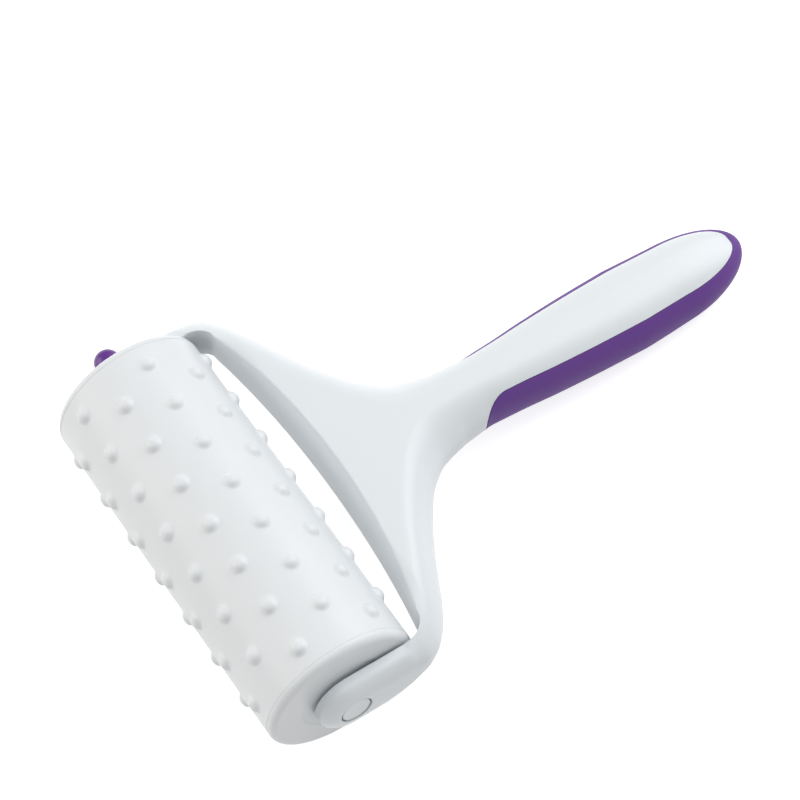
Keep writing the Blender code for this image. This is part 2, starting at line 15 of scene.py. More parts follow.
import bmesh
import bpy
from mathutils import Matrix, Vector


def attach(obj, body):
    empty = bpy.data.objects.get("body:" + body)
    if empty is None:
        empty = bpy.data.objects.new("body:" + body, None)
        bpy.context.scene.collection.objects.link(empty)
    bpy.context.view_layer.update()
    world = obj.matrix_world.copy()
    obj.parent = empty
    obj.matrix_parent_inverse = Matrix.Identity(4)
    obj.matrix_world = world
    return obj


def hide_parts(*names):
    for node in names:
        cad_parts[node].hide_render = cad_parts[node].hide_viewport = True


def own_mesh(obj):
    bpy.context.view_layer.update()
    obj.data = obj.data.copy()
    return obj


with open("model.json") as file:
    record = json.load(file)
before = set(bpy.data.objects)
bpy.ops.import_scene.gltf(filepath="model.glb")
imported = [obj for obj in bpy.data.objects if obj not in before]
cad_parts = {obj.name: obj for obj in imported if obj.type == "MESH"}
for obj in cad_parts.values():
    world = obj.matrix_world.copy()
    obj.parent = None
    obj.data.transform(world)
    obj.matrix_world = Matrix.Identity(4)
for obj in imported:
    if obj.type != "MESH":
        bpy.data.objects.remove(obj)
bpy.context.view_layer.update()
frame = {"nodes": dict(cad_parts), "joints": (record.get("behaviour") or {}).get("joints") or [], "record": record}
print("nodes:", sorted(frame["nodes"]))

# %% [markdown]
# ## Where the tool lies
#
# The tool is easiest to describe in axes of its own: X along the roller's axis towards the plain arm, Y
# from the axle towards the end of the handle, Z square to the flat top. It lies on two lines of studs and
# on the end of the handle, so these axes are tilted a little about X. The tilt could be written down as
# a number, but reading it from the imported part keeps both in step. The roller's hinge gives the axle's
# place. The flat on the plain arm is level with the axle in the tool's axes, so the line between them
# shows the tilt.

# %% The tool's own axes
MM = 0.001
spin = next(joint for joint in frame["joints"] if joint["name"] == "roller_spin")
press = next(joint for joint in frame["joints"] if joint["name"] == "button_press")
axle = Vector(spin["pos_m"])
arm_flat = Vector(frame["record"]["mounts"][0]["pos_m"])
tilt = math.atan2(axle.z - arm_flat.z, arm_flat.y - axle.y)
tool_axes = Matrix.Translation(axle) @ Matrix.Rotation(-tilt, 4, "X")
print("tilt in degrees:", round(math.degrees(tilt), 2))

# %% [markdown]
# ## Camera
#
# The camera comes first, because every later choice is judged through it. It looks down on the near end
# of the roller from about 62 degrees above the table, through a long lens, so that the handle's far end
# is hardly smaller than the roller. It is rolled by a few degrees. Its three directions are written out
# as they were found by fitting the lattice of studs. Unlike three angles, they can be checked one by one.

# %% The camera
CAMERA_AT = (0.36442, -0.17451, 0.77997)
CAMERA_RIGHT = (0.55045, 0.82992, -0.09077)
CAMERA_UP = (-0.71581, 0.52511, 0.46030)
CAMERA_LENS = 140.14
CAMERA_SENSOR = 36.0
CAMERA_CLIP = 10 * MM

camera_data = bpy.data.cameras.new("camera")
camera_data.lens = CAMERA_LENS
camera_data.sensor_width = CAMERA_SENSOR
camera_data.clip_start = CAMERA_CLIP
camera = bpy.data.objects.new("camera", camera_data)
bpy.context.scene.collection.objects.link(camera)
right = Vector(CAMERA_RIGHT).normalized()
up = (Vector(CAMERA_UP) - Vector(CAMERA_UP).project(right)).normalized()
turn = Matrix((right, up, right.cross(up))).transposed().to_4x4()
camera.matrix_world = Matrix.Translation(CAMERA_AT) @ turn
bpy.context.scene.camera = camera
print("camera looks down at", round(math.degrees(math.asin(right.cross(up).z)), 1), "degrees")

# %% [markdown]
# ## Shader maths as plain expressions
#
# A node tree is a calculation, and it is easier to read as one. The class below stands for one output of a
# node. Adding or multiplying two of them adds the Math node that does so and hands back its output, also
# when a plain number comes first. Everything that isn't arithmetic comes from the one method `node` of a
# finish: it takes the node's type, its settings and what goes into its sockets.

# %% A wrapped socket
class Wire:
    """The output of a node, used like a number."""

    def __init__(self, finish, socket):
        self.finish = finish
        self.socket = socket

    def maths(self, operation, first, second):
        settings = {"operation": operation}
        return self.finish.node("ShaderNodeMath", settings, {0: first, 1: second})

    def __add__(self, other):
        return self.maths("ADD", self, other)

    def __radd__(self, other):
        return self.maths("ADD", other, self)

    def __mul__(self, other):
        return self.maths("MULTIPLY", self, other)

    def __rmul__(self, other):
        return self.maths("MULTIPLY", other, self)


# %% A finish
class Finish:
    """One material, with its Principled shader."""

    def __init__(self, name, **constants):
        self.material = bpy.data.materials.new(name)
        self.material.use_nodes = True
        self.tree = self.material.node_tree
        self.shader = self.tree.nodes["Principled BSDF"]
        for socket, value in constants.items():
            self.shader.inputs[socket.replace("_", " ")].default_value = value

    def feed(self, socket, value):
        if isinstance(value, Wire):
            self.tree.links.new(value.socket, socket)
        else:
            socket.default_value = value

    def node(self, kind, settings=None, inputs=None, output=0):
        made = self.tree.nodes.new(kind)
        for name, value in (settings or {}).items():
            setattr(made, name, value)
        for name, value in (inputs or {}).items():
            self.feed(made.inputs[name], value)
        return Wire(self, made.outputs[output])

    def shows(self, socket, value):
        self.feed(self.shader.inputs[socket], value)

    def place(self):
        return self.node("ShaderNodeTexCoord", output="Object")

    def noise(self, size, detail=2):
        """Grey noise whose blotches are about `size` metres across."""
        inputs = {"Vector": self.place(), "Scale": 1 / size, "Detail": detail}
        return self.node("ShaderNodeTexNoise", None, inputs)

    def blend(self, factor, first, second):
        """A colour between two colours. Sockets 6 and 7 and output 2 are the Mix node's colours."""
        settings = {"data_type": "RGBA", "clamp_factor": True}
        inputs = {0: factor, 6: (*first, 1), 7: (*second, 1)}
        return self.node("ShaderNodeMix", settings, inputs, output=2)

    def relief(self, height, distance, strength):
        """Fine relief of the given depth in metres."""
        inputs = {"Height": height, "Distance": distance, "Strength": strength}
        self.shows("Normal", self.node("ShaderNodeBump", None, inputs))


# %% [markdown]
# ## Stage, world and lamps
#
# The tool is shown on plain white. A floor that is simply lit until it clips would also wash out the pale
# tool. So the floor is a large pale plane that shows white to the camera and still takes the tool's soft
# shadow: its own glow is added only for what the camera, a reflection or a refraction sees. The world is
# white to the camera in the same way, and lights the tool at a lower level.
#
# A wide softbox behind the handle is the main light, so the studs are shaded on the side that faces the
# viewer, as in the photograph. A warmer one from the front left keeps the roller's lower side from going
# dark, and a weak one overhead evens out the flat tops.

# %% The floor
FLOOR_SIZE = 6.0
FLOOR_COLOUR = (0.70, 0.70, 0.70)
FLOOR_GLOW = 0.72

floor_finish = Finish("floor_white", Roughness=1.0)
seen = floor_finish.node("ShaderNodeLightPath", output="Is Camera Ray")
mirrored = floor_finish.node("ShaderNodeLightPath", output="Is Glossy Ray")
refracted = floor_finish.node("ShaderNodeLightPath", output="Is Transmission Ray")
floor_finish.shows("Base Color", (*FLOOR_COLOUR, 1))
floor_finish.shows("Emission Color", (1, 1, 1, 1))
floor_finish.shows("Emission Strength", (seen + mirrored + refracted) * FLOOR_GLOW)

bpy.ops.mesh.primitive_plane_add(size=FLOOR_SIZE)
floor = bpy.context.object
floor.name = "floor"
floor.data.materials.append(floor_finish.material)
print("floor:", FLOOR_SIZE, "m")

# %% The world
WORLD_LEVEL = 0.45

world = bpy.data.worlds.new("studio")
bpy.context.scene.world = world
world.use_nodes = True
tree = world.node_tree
path = tree.nodes.new("ShaderNodeLightPath")
level = tree.nodes.new("ShaderNodeMapRange")
level.inputs["To Min"].default_value = WORLD_LEVEL
level.inputs["To Max"].default_value = 1.0
tree.links.new(path.outputs["Is Camera Ray"], level.inputs["Value"])
tree.links.new(level.outputs["Result"], tree.nodes["Background"].inputs["Strength"])
tree.nodes["Background"].inputs["Color"].default_value = (1, 1, 1, 1)
print("world level:", WORLD_LEVEL)

# %% The softboxes: name, place, size in metres, power in watts and colour
SOFTBOXES = (
    ("key_light", (-0.15, 1.10, 0.85), 1.3, 11.4, (0.975, 0.990, 1.00)),
    ("front_light", (-0.75, -0.95, 0.55), 1.0, 6.0, (1.00, 0.965, 0.91)),
    ("top_light", (0.05, -0.05, 1.35), 1.0, 3.0, (1.00, 1.00, 1.00)),
)

for name, at, size, power, colour in SOFTBOXES:
    lamp_data = bpy.data.lights.new(name, "AREA")
    lamp_data.shape = "DISK"
    lamp_data.size = size
    lamp_data.energy = power
    lamp_data.color = colour
    lamp = bpy.data.objects.new(name, lamp_data)
    lamp.location = at
    lamp.rotation_euler = Vector(at).to_track_quat("Z", "Y").to_euler()
    bpy.context.scene.collection.objects.link(lamp)
    print(name, "at", at)

bpy.context.scene.view_settings.view_transform = "Standard"

# %% [markdown]
# ## White moulded plastic
#
# The frame, the roller and its caps are moulded from the same cool white plastic. It could be one flat
# colour, but moulded plastic never is: the filler makes faint clouds, the mould's fine polish breaks up
# the gloss, and handling dulls it in patches. Each of these is a noise at its own scale: centimetres for
# the clouds, millimetres for the dull patches, tenths of a millimetre for the skin of the mould.

# %% The white finishes
WHITE = (0.775, 0.812, 0.838)
WHITE_CLOUD = (0.760, 0.795, 0.818)
WHITE_ROUGHNESS = 0.27
ROLLER_WHITE = (0.800, 0.824, 0.846)
ROLLER_CLOUD = (0.784, 0.804, 0.820)
ROLLER_ROUGHNESS = 0.33
DULLING = 0.10
CLOUD_SIZE = 30 * MM
PATCH_SIZE = 6 * MM
SKIN_SIZE = 0.35 * MM
SKIN_DEPTH = 0.006 * MM
SKIN_STRENGTH = 0.5


def moulded_white(name, colour, cloud, roughness):
    finish = Finish(name, Specular_IOR_Level=0.45)
    clouds = finish.noise(CLOUD_SIZE, detail=3)
    patches = finish.noise(PATCH_SIZE, detail=4)
    finish.shows("Base Color", finish.blend(clouds, colour, cloud))
    finish.shows("Roughness", roughness + patches * DULLING)
    finish.relief(finish.noise(SKIN_SIZE), SKIN_DEPTH, SKIN_STRENGTH)
    return finish.material


frame_white = moulded_white("frame_white", WHITE, WHITE_CLOUD, WHITE_ROUGHNESS)
roller_white = moulded_white("roller_white", ROLLER_WHITE, ROLLER_CLOUD, ROLLER_ROUGHNESS)
print("white finishes:", frame_white.name, roller_white.name)

# %% [markdown]
# ## Soft purple grip and purple button
#
# The grip is a rubber-like plastic moulded over the handle. It is matte, with a fine even grain that
# scatters light, so its edges look lighter than its middle. A rough surface alone would look like paint.
# The grain's relief and a little sheen make it soft. The button is a harder, glossier plastic in the same
# family of colour, without the grain.

# %% The grip's finish
GRIP_PURPLE = (0.132, 0.046, 0.275)
GRIP_WORN = (0.146, 0.056, 0.292)
GRIP_ROUGHNESS = 0.52
GRIP_DULLING = 0.12
WEAR_SIZE = 18 * MM
GRAIN_SIZE = 0.25 * MM
GRAIN_DEPTH = 0.020 * MM
GRAIN_STRENGTH = 0.6

grip = Finish("soft_purple", Specular_IOR_Level=0.30, Sheen_Weight=0.04, Sheen_Roughness=0.45)
worn = grip.noise(WEAR_SIZE, detail=4)
grip.shows("Base Color", grip.blend(worn, GRIP_PURPLE, GRIP_WORN))
grip.shows("Roughness", GRIP_ROUGHNESS + grip.noise(PATCH_SIZE, detail=3) * GRIP_DULLING)
grip.relief(grip.noise(GRAIN_SIZE, detail=3), GRAIN_DEPTH, GRAIN_STRENGTH)
soft_purple = grip.material
print("grip's finish:", soft_purple.name)

# %% The button's finish
BUTTON_PURPLE = (0.130, 0.028, 0.262)
BUTTON_DEEP = (0.098, 0.022, 0.215)
BUTTON_ROUGHNESS = 0.25

knob = Finish("button_purple", Specular_IOR_Level=0.5)
knob.shows("Base Color", knob.blend(knob.noise(CLOUD_SIZE / 4), BUTTON_PURPLE, BUTTON_DEEP))
knob.shows("Roughness", BUTTON_ROUGHNESS + knob.noise(PATCH_SIZE / 2, detail=3) * DULLING)
knob.relief(knob.noise(SKIN_SIZE), SKIN_DEPTH, SKIN_STRENGTH)
button_purple = knob.material
print("button's finish:", button_purple.name)

# %% [markdown]
# ## Spring steel
#
# The spring inside the roller is drawn wire. Drawing leaves fine lines along it, which show as a gloss
# that changes across the wire, and a slightly darker tint where oil has stayed on. Lines along the wire
# would need a texture that follows the coil. At this size a fine noise looks the same, and it is simpler.

# %% The steel finish
STEEL = (0.60, 0.60, 0.62)
OILED_STEEL = (0.46, 0.45, 0.44)
OIL_SIZE = 2 * MM
DRAWN_SIZE = 0.3 * MM
STEEL_ROUGHNESS = 0.20
STEEL_DULLING = 0.20

steel = Finish("spring_steel", Metallic=1.0)
steel.shows("Base Color", steel.blend(steel.noise(OIL_SIZE, detail=4), STEEL, OILED_STEEL))
steel.shows("Roughness", STEEL_ROUGHNESS + steel.noise(DRAWN_SIZE, detail=4) * STEEL_DULLING)
spring_steel = steel.material
print("steel finish:", spring_steel.name)

# %% [markdown]
# ## Sizes that the pieces share
#
# These are sizes of the real pieces, measured from the axle in the tool's axes. The places of the arms
# aren't written down: they follow from the roller between them, so that the pieces keep fitting when one
# size changes. Sizes that only one piece needs come with that piece.

# %% Sizes of the roller and its arms
FIT_GAP = 0.3 * MM
OVERRUN = 10 * MM

ROLLER_RADIUS = 22.5 * MM
SLEEVE_LENGTH = 106.2 * MM
SLEEVE_WALL = 2.5 * MM
CAP_FLANGE = 2.2 * MM
END_PLAY = 0.7 * MM
ARM_THICKNESS = 5.7 * MM
ARM_END_RADIUS = 9.8 * MM
ARM_CORNER = 3.3 * MM
ARM_RUN = 18.0 * MM

half_roller = SLEEVE_LENGTH / 2 + FIT_GAP + CAP_FLANGE
inner_face = half_roller + END_PLAY
outer_face = inner_face + ARM_THICKNESS
sleeve_bore = ROLLER_RADIUS - SLEEVE_WALL
print("arms from", round(inner_face / MM, 2), "to", round(outer_face / MM, 2), "mm")

# %% [markdown]
# ## Smooth curves through a few places
#
# The frame's outline, its top and its underside are each a short table of places. Straight lines between
# them would show as kinks in the gloss, and an ordinary spline swings past its places. A monotone cubic
# never overshoots between two places, so a level run stays level.

# %% Curves through a table
def smooth(table, at):
    """Value of a smooth curve through the table's points, level wherever the points turn back."""
    if at <= table[0][0]:
        return table[0][1]
    if at >= table[-1][0]:
        return table[-1][1]
    slopes = [(b[1] - a[1]) / (b[0] - a[0]) for a, b in zip(table, table[1:])]
    pairs = zip(slopes, slopes[1:])
    tangents = [slopes[0]] + [2 * p * q / (p + q) if p * q > 0 else 0 for p, q in pairs] + [slopes[-1]]
    place = max(i for i, point in enumerate(table[:-1]) if point[0] <= at)
    (x0, y0), (x1, y1) = table[place], table[place + 1]
    span = x1 - x0
    s = (at - x0) / span
    start = y0 * (1 + 2 * s) * (1 - s) ** 2 + span * tangents[place] * s * (1 - s) ** 2
    end = y1 * s * s * (3 - 2 * s) + span * tangents[place + 1] * s * s * (s - 1)
    return start + end


def spread(low, high, count):
    """Evenly spaced places from low to high, both kept."""
    return [low + (high - low) * i / (count - 1) for i in range(count)]


print("a curve from 0 up to 1 and level after it:", [
    round(smooth(((0, 0), (1, 1), (2, 1)), at), 2) for at in spread(0, 2, 5)])

# %% [markdown]
# ## Outline of the moulding, seen from above
#
# Seen from above, the yoke's shoulders sweep in from the arms to a narrow neck. The handle swells towards
# its last third and ends in a round tip. Each stretch is a table of shares between two widths, and not of
# widths, so that a wider tool keeps the same curves.

# %% Half the moulding's width
NECK_AT = 69.0 * MM
NECK_HALF_WIDTH = 11.0 * MM
THROAT_AT = 79.0 * MM
THROAT_HALF_WIDTH = 9.5 * MM
BULGE_AT = 130.0 * MM
GRIP_HALF_WIDTH = 12.7 * MM
TAIL_AT = 145.0 * MM
TAIL_HALF_WIDTH = 12.0 * MM
TIP_AT = 169.38 * MM
SHOULDER_SHARES = (
    (0.00, 1.000), (0.08, 0.999), (0.16, 0.973), (0.235, 0.907), (0.314, 0.792), (0.392, 0.637),
    (0.47, 0.482), (0.57, 0.317), (0.686, 0.163), (0.824, 0.058), (1.00, 0.000),
)
SWELL_SHARES = ((0.00, 0.00), (0.22, 0.22), (0.41, 0.52), (0.71, 0.83), (1.00, 1.00))


def along_yoke(y):
    return (y - ARM_RUN) / (NECK_AT - ARM_RUN)


def tail(y, start):
    """Share that is left at y of something that rounds off from start to the tip."""
    along = min(max((y - start) / (TIP_AT - start), 0), 1)
    return math.sqrt(1 - along * along)


def half_width(y):
    if y <= NECK_AT:
        share = smooth(SHOULDER_SHARES, along_yoke(y))
        return NECK_HALF_WIDTH + (outer_face - NECK_HALF_WIDTH) * share
    if y <= THROAT_AT:
        return smooth(((NECK_AT, NECK_HALF_WIDTH), (THROAT_AT, THROAT_HALF_WIDTH)), y)
    if y <= BULGE_AT:
        share = smooth(SWELL_SHARES, (y - THROAT_AT) / (BULGE_AT - THROAT_AT))
        return THROAT_HALF_WIDTH + (GRIP_HALF_WIDTH - THROAT_HALF_WIDTH) * share
    body = smooth(((BULGE_AT, GRIP_HALF_WIDTH), (TAIL_AT, TAIL_HALF_WIDTH)), y)
    return body * tail(y, TAIL_AT)


print("handle from", round(NECK_AT / MM), "to", round(TIP_AT / MM), "mm behind the axle")
print("half width at the throat, mm:", round(half_width(THROAT_AT) / MM, 1))

# %% [markdown]
# ## Top, underside and waist, seen from the side
#
# The top rises from the arms to the yoke and then runs flat to the tail, where it falls to the tip. The
# underside drops from the thin yoke to the deeper neck and lifts again to the tip. The waist is the
# height at which the sides are widest.

# %% Heights along the moulding
WINDOW_REACH = 30.3 * MM
WINDOW_CORNER = 6.0 * MM
TOP_HEIGHT = 14.2 * MM
YOKE_UNDERSIDE = 0.2 * MM
NECK_UNDERSIDE = 6.4 * MM
GRIP_UNDERSIDE = 6.0 * MM
TIP_HEIGHT = 6.6 * MM
WAIST_HEIGHT = 4.5 * MM
TAIL_FALL_SHARE = 0.35
TAIL_LIFT_SHARE = 0.60


def top_height(y):
    rise = ((ARM_RUN, ARM_END_RADIUS), (WINDOW_REACH, TOP_HEIGHT))
    body = smooth(rise, y) if y > 0 else math.sqrt(max(ARM_END_RADIUS ** 2 - y * y, 0))
    left = tail(y, TAIL_AT) ** (2 * TAIL_FALL_SHARE)
    return TIP_HEIGHT + (body - TIP_HEIGHT) * left if y > TAIL_AT else body


def underside_height(y):
    drop = (
        (0, -ARM_END_RADIUS),
        (ARM_RUN / 2, -ARM_END_RADIUS),
        (WINDOW_REACH, YOKE_UNDERSIDE),
        (WINDOW_REACH + WINDOW_CORNER, YOKE_UNDERSIDE),
        (NECK_AT, -NECK_UNDERSIDE),
        (THROAT_AT, -NECK_UNDERSIDE),
        (BULGE_AT, -GRIP_UNDERSIDE),
        (TAIL_AT, -GRIP_UNDERSIDE),
    )
    body = smooth(drop, y)
    left = tail(y, BULGE_AT) ** (2 * TAIL_LIFT_SHARE)
    return TIP_HEIGHT + (body - TIP_HEIGHT) * left if y > BULGE_AT else body


def waist_height(y):
    rise = ((ARM_RUN, 0), (WINDOW_REACH, WAIST_HEIGHT), (TAIL_AT, WAIST_HEIGHT), (TIP_AT, TIP_HEIGHT))
    return smooth(rise, y)


print("thickness at the neck, mm:", round((top_height(NECK_AT) - underside_height(NECK_AT)) / MM, 1))

# %% [markdown]
# ## Sections
#
# A section is the moulding's outline when it is cut across at one place. It is flat on top and below and
# rounds over at the sides by quarter ellipses, which are a little squarer on top along the yoke. Rounding
# the edges with a bevel afterwards would be simpler, but a bevel has one width, and here the rounding
# grows from a small one on the arms to the whole side of the handle.
#
# The moulding starts at the arms' round ends, as wide as the whole yoke, because the window between the
# arms is cut out afterwards, just as the window's core does in the real mould.

# %% One section
SHOULDER_CORNER = 16.5 * MM
LOWER_CORNER = 18.0 * MM
RIDGE_SHARES = (
    (0.00, 0.00), (0.16, 0.67), (0.255, 0.93), (0.353, 1.00), (0.53, 0.85), (0.667, 0.73),
    (0.824, 0.60), (1.00, 0.48),
)
ROUNDNESS_SHARES = ((0.00, 1.00), (0.24, 0.75), (0.82, 0.75), (1.31, 1.00))
ROUND_SHARE = 0.84
ARM_FLAT_SHARE = 0.36
HANDLE_FLAT_SHARE = 0.06


def corner_widths(y):
    """How far in from the side the section starts to round off at y, on top and underneath."""
    limit = ROUND_SHARE * half_width(y)
    if y >= THROAT_AT:
        return limit, limit
    ridge = ARM_CORNER + (SHOULDER_CORNER - ARM_CORNER) * smooth(RIDGE_SHARES, along_yoke(y))
    lower = smooth(((ARM_RUN, ARM_CORNER), (WINDOW_REACH + WINDOW_CORNER, LOWER_CORNER)), y)
    return min(ridge, limit), min(lower, limit)


def nose_section(y, flats, rounds):
    """Outline of the arms' round ends, where the side's rounding follows the end's own circle."""
    flat_radius = ARM_FLAT_SHARE * ARM_END_RADIUS
    round_radius = ARM_END_RADIUS - flat_radius
    lowest = math.asin(min(max((-y - flat_radius) / round_radius, 0), 1))
    side = outer_face - ARM_CORNER
    top = math.sqrt(max(ARM_END_RADIUS ** 2 - y * y, 0))
    upper = []
    for a in spread(math.pi / 2, lowest, rounds + 1):
        radius = flat_radius + round_radius * math.sin(a)
        upper.append((side + ARM_CORNER * math.cos(a), math.sqrt(max(radius * radius - y * y, 0))))
    half = [(x, top) for x in spread(0, side, flats + 1)] + upper[1:]
    return half + [(x, -z) for x, z in reversed(half)]


def section(y, inset, flats, rounds):
    """Closed outline of the moulding at y, drawn in by inset: points (x, z), right half then left."""
    if y < 0:
        half = nose_section(y, flats, rounds)
        return half + [(-x, z) for x, z in reversed(half[1:-1])]
    width = half_width(y) - inset
    top = top_height(y) - inset
    under = underside_height(y) + inset
    waist = min(max(waist_height(y), under), top)
    upper, lower = [min(corner, ROUND_SHARE * width) for corner in corner_widths(y)]
    flat = smooth(((ARM_RUN, ARM_FLAT_SHARE), (WINDOW_REACH, HANDLE_FLAT_SHARE)), y)
    power = 1 / smooth(ROUNDNESS_SHARES, along_yoke(y))
    quarter = spread(0, math.pi / 2, rounds + 1)
    half = [(x, top) for x in spread(0, width - upper, flats + 1)]
    for a in reversed(quarter[:-1]):
        rise = flat + (1 - flat) * math.sin(a) ** power
        half.append((width - upper * (1 - math.cos(a) ** power), waist + (top - waist) * rise))
    for a in quarter:
        drop = flat + (1 - flat) * math.sin(a)
        half.append((width - lower * (1 - math.cos(a)), waist + (under - waist) * drop))
    half += [(x, under) for x in spread(width - lower, 0, flats + 1)[1:]]
    return half + [(-x, z) for x, z in reversed(half[1:-1])]


print("rounding at the neck, mm:", [round(width / MM, 1) for width in corner_widths(NECK_AT)])

# %% [markdown]
# ## From sections to solids
#
# The moulding is a loft: one section after another along Y, skinned with four-sided faces. A subdivided
# cage would need fewer points, but it shrinks away from them, and the sizes have to stay those of the
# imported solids. Round pieces are turned instead: a profile is swept once round the roller's axis, as on a
# lathe.

# %% Lofting and turning
MERGE_DISTANCE = MM / 1000


def new_piece(name, data):
    piece = bpy.data.objects.new(name, data)
    bpy.context.scene.collection.objects.link(piece)
    return piece


def shape_piece(name, shape):
    """A piece with the shape's mesh. The shape itself is used up."""
    mesh = bpy.data.meshes.new(name)
    shape.to_mesh(mesh)
    shape.free()
    return new_piece(name, mesh)


def loft(name, rings):
    """Skin over closed rings of equal length, with both ends filled."""
    shape = bmesh.new()
    rows = [[shape.verts.new(point) for point in ring] for ring in rings]
    for row, after in zip(rows, rows[1:]):
        for i in range(len(row)):
            j = (i + 1) % len(row)
            shape.faces.new((row[i], row[j], after[j], after[i]))
    shape.faces.new(rows[0])
    shape.faces.new(rows[-1])
    bmesh.ops.remove_doubles(shape, verts=shape.verts, dist=MERGE_DISTANCE)
    bmesh.ops.recalc_face_normals(shape, faces=shape.faces)
    return shape_piece(name, shape)


def turned(name, profile, steps, x, outwards, closed=False):
    """Solid of revolution on the roller's axis, from points (radius, height) down its outer side."""
    shape = bmesh.new()
    verts = [shape.verts.new((radius, 0, height)) for radius, height in profile]
    for a, b in zip(verts, verts[1:]):
        shape.edges.new((a, b))
    if closed:
        shape.edges.new((verts[-1], verts[0]))
    piece = shape_piece(name, shape)
    screw = piece.modifiers.new("turn", "SCREW")
    screw.steps = steps
    screw.render_steps = steps
    screw.use_merge_vertices = True
    screw.merge_threshold = FIT_GAP / 10
    piece.location = (x, 0, 0)
    piece.rotation_euler = (0, outwards * math.pi / 2, 0)
    return piece


# %% [markdown]
# ## Cutting, joining and finishing
#
# Windows and holes are cut with Boolean modifiers. Each one is settled at once, so that the next one works
# on a plain mesh. A finished piece is then dressed: it gets its place on the tool, smooth shading with
# sharp edges only where faces meet at more than the crease angle, its finish and the body that it moves
# with, and the imported node that it stands for is hidden.

# %% Helpers for every piece
CREASE = math.radians(32)


def settle(piece):
    """Make what the modifiers show the piece's own mesh."""
    bpy.context.view_layer.update()
    shown = piece.evaluated_get(bpy.context.evaluated_depsgraph_get())
    mesh = bpy.data.meshes.new_from_object(shown)
    piece.modifiers.clear()
    piece.data = mesh


def combine(piece, operation, other):
    """Cut or join with another piece, which is then removed."""
    step = piece.modifiers.new(operation.lower(), "BOOLEAN")
    step.operation = operation
    step.object = other
    settle(piece)
    bpy.data.objects.remove(other)
    return piece


def dress(piece, material, body, node):
    """Place, shade, finish and attach a finished piece, and hide the node it stands for."""
    settle(piece)
    piece.data.transform(tool_axes @ piece.matrix_world)
    piece.matrix_world = Matrix.Identity(4)
    piece.data.materials.clear()
    piece.data.materials.append(material)
    piece.data.shade_smooth()
    piece.data.set_sharp_from_angle(angle=CREASE)
    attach(piece, body)
    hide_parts(node)
    print(piece.name, "has", len(piece.data.polygons), "faces")


# %% [markdown]
# ## The white frame
#
# The frame is one moulding with two arms, a yoke, a neck and the handle's white top. Arms, yoke and handle
# could be made one by one and joined, but the joints would show in the gloss. So it is lofted whole, close
# enough for a smooth outline, and then the window and the grip's zone are taken away.

# %% The whole moulding
ARM_END_STEPS = 14
ARM_STEPS = 12
YOKE_STEPS = 70
HANDLE_STEPS = 50
TIP_STEPS = 30
FLATS = 10
ROUNDS = 12
first_angle = math.radians(88)
last_angle = math.radians(6)
tip_angle = math.radians(89)

stations = [-ARM_END_RADIUS * math.sin(a) for a in spread(first_angle, last_angle, ARM_END_STEPS)]
stations += spread(0, ARM_RUN, ARM_STEPS) + spread(ARM_RUN, NECK_AT, YOKE_STEPS)[1:]
stations += spread(NECK_AT, TAIL_AT, HANDLE_STEPS)[1:]
stations += [TAIL_AT + (TIP_AT - TAIL_AT) * math.sin(a) for a in spread(0, tip_angle, TIP_STEPS)[1:]]


def moulding(name):
    return loft(name, [[(x, y, z) for x, z in section(y, 0, FLATS, ROUNDS)] for y in stations])


print("sections in the moulding:", len(stations))

# %% [markdown]
# ## The grip's zone
#
# The soft grip covers everything below the parting line and behind the band's front edge, down to a hard
# core of the white plastic. The zone is a plain block with one round corner, less that core. Both the
# frame and the grip are cut with it, so the line between purple and white is the same on both.

# %% The zone and the core inside it
BAND_AT = 76.5 * MM
BAND_CORNER = 8.0 * MM
BAND_CORNER_STEPS = 25
PARTING_HEIGHT = 11.6 * MM
GRIP_WALL = 2.2 * MM
CORE_STEPS = 12
CORE_TIP_STEPS = 8
CORE_FLATS = 2
CORE_ROUNDS = 6
core_tip_angle = math.radians(88)


def grip_core(name, wall):
    """The moulding's inside, one wall's thickness below its skin."""
    places = spread(BAND_AT - OVERRUN, TAIL_AT, CORE_STEPS)
    reach = TIP_AT - wall - TAIL_AT
    places += [TAIL_AT + reach * math.sin(a) for a in spread(0, core_tip_angle, CORE_TIP_STEPS)[1:]]
    return loft(name, [[(x, y, z) for x, z in section(y, wall, CORE_FLATS, CORE_ROUNDS)] for y in places])


def grip_zone(name, gap):
    """Everything below the parting line and behind the band's front edge, with its round corner."""
    front = BAND_AT + gap
    top = PARTING_HEIGHT - gap
    corner = BAND_CORNER - gap
    angles = [math.pi - a for a in spread(0, math.pi / 2, BAND_CORNER_STEPS)]
    arc = [(front + corner + corner * math.cos(a), top - corner + corner * math.sin(a)) for a in angles]
    back = TIP_AT + OVERRUN
    low = -TOP_HEIGHT - OVERRUN
    outline = arc + [(back, top), (back, low), (front, low)]
    reach = TOP_HEIGHT + OVERRUN
    return loft(name, [[(x, y, z) for y, z in outline] for x in (-reach, reach)])


print("band starts", round(BAND_AT / MM, 1), "mm behind the axle")

# %% [markdown]
# ## The window between the arms
#
# The roller turns in a window with a bowed front and round corners. It is cut with one tall block, made of
# the window's outline at many heights. Near the top and the underside the outline flares outwards in a
# small quarter round, and that leaves a rounded edge along the yoke's front and the arms, as the mould
# does. A bevel on the finished cut would stumble over the many small faces there. Towards the middle of
# the yoke the front also curves back below that edge, so its upper part catches more light than its foot.

# %% The window's outline
WINDOW_LEAN = 2.3 * MM
WINDOW_BOW = 4.0 * MM
WINDOW_TOP_BOW = 6.8 * MM
FRONT_CURVE = 9.0 * MM
CORNER_SHARE = 0.4
FRONT_STEPS = 41
CORNER_STEPS = 17
SIDE_STEPS = 24


